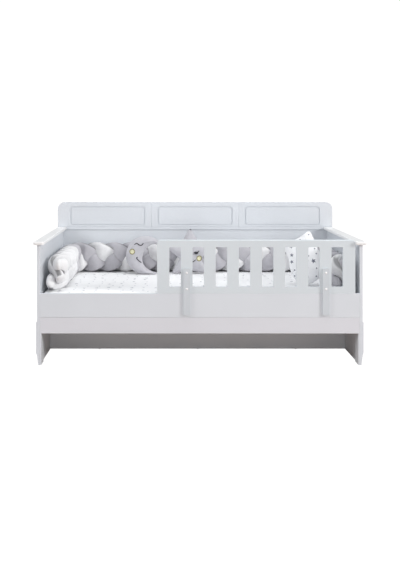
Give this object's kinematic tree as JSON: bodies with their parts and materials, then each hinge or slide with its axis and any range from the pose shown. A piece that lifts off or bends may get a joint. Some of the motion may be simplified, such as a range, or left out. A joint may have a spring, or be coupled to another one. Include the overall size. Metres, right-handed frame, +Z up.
{
  "type": "toddler bed",
  "caption": "Low panelled child's bed with capped ends, a routed backboard, a lift-off slotted guard rail, and a mattress dressed with a braided bumper and soft toys",
  "frame": {"origin": "on the floor, at the middle of the bed's length and of its whole depth", "axes": "+X to the right as seen from the front, along the bed's length; +Y to the back; +Z up"},
  "size_m": [1.996, 0.973, 0.926],
  "materials": {
    "lacquered_board": "satin",
    "apron_lacquer": "satin",
    "guard_lacquer": "satin",
    "cap_lacquer": "satin",
    "pine": "matte",
    "beech": "matte",
    "zinc_fittings": "satin",
    "white_caps": "gloss",
    "white_plastic": "matte",
    "mattress_ticking": "matte",
    "printed_sheet": "matte",
    "braid_cloth": "matte",
    "braid_cloth_white": "matte",
    "plush_cloth": "matte",
    "dark_thread": "matte",
    "gold_applique": "satin"
  },
  "bodies": {
    "bed": {"end_panel_left": "lacquered_board", "end_panel_right": "lacquered_board", "cap_rail_left": "cap_lacquer", "cap_rail_right": "cap_lacquer", "skirting_left": "lacquered_board", "skirting_right": "lacquered_board", "leg_cheek_left": "lacquered_board", "leg_cheek_right": "lacquered_board", "front_rail": "lacquered_board", "front_apron": "apron_lacquer", "lower_back_panel": "lacquered_board", "back_board_left": "lacquered_board", "back_board_middle": "lacquered_board", "back_board_right": "lacquered_board", "support_board": "lacquered_board", "ledger_front": "pine", "ledger_back": "pine", "floor_glides": "white_plastic", "cam_locks": "zinc_fittings", "cam_bolts": "zinc_fittings", "dowels": "beech", "back_screws": "zinc_fittings", "ledger_screws": "zinc_fittings", "slat_screws": "zinc_fittings", "mattress": "mattress_ticking", "fitted_sheet": "printed_sheet", "braided_bumper": "braid_cloth", "moon_cushion": "plush_cloth", "star_cushion": "plush_cloth", "star_print_pillow": "printed_sheet", "slat_01": "pine", "slat_02": "pine", "slat_03": "pine", "slat_04": "pine", "slat_05": "pine", "slat_06": "pine", "slat_07": "pine", "slat_08": "pine", "slat_09": "pine", "slat_10": "pine", "slat_11": "pine", "slat_12": "pine", "slat_13": "pine", "slat_14": "pine"},
    "guard": {"guard_board": "guard_lacquer", "hanger_left": "guard_lacquer", "hanger_right": "guard_lacquer", "hanger_plate_left": "cap_lacquer", "hanger_plate_right": "cap_lacquer", "guard_bolts": "white_caps", "guard_nuts": "white_caps", "guard_pins": "zinc_fittings"}
  },
  "joints": [
    {"name": "guard_lift", "type": "slide", "parent": "bed", "child": "guard", "axis": [0, 0, 1], "range_m": [0, 0.15]}
  ]
}
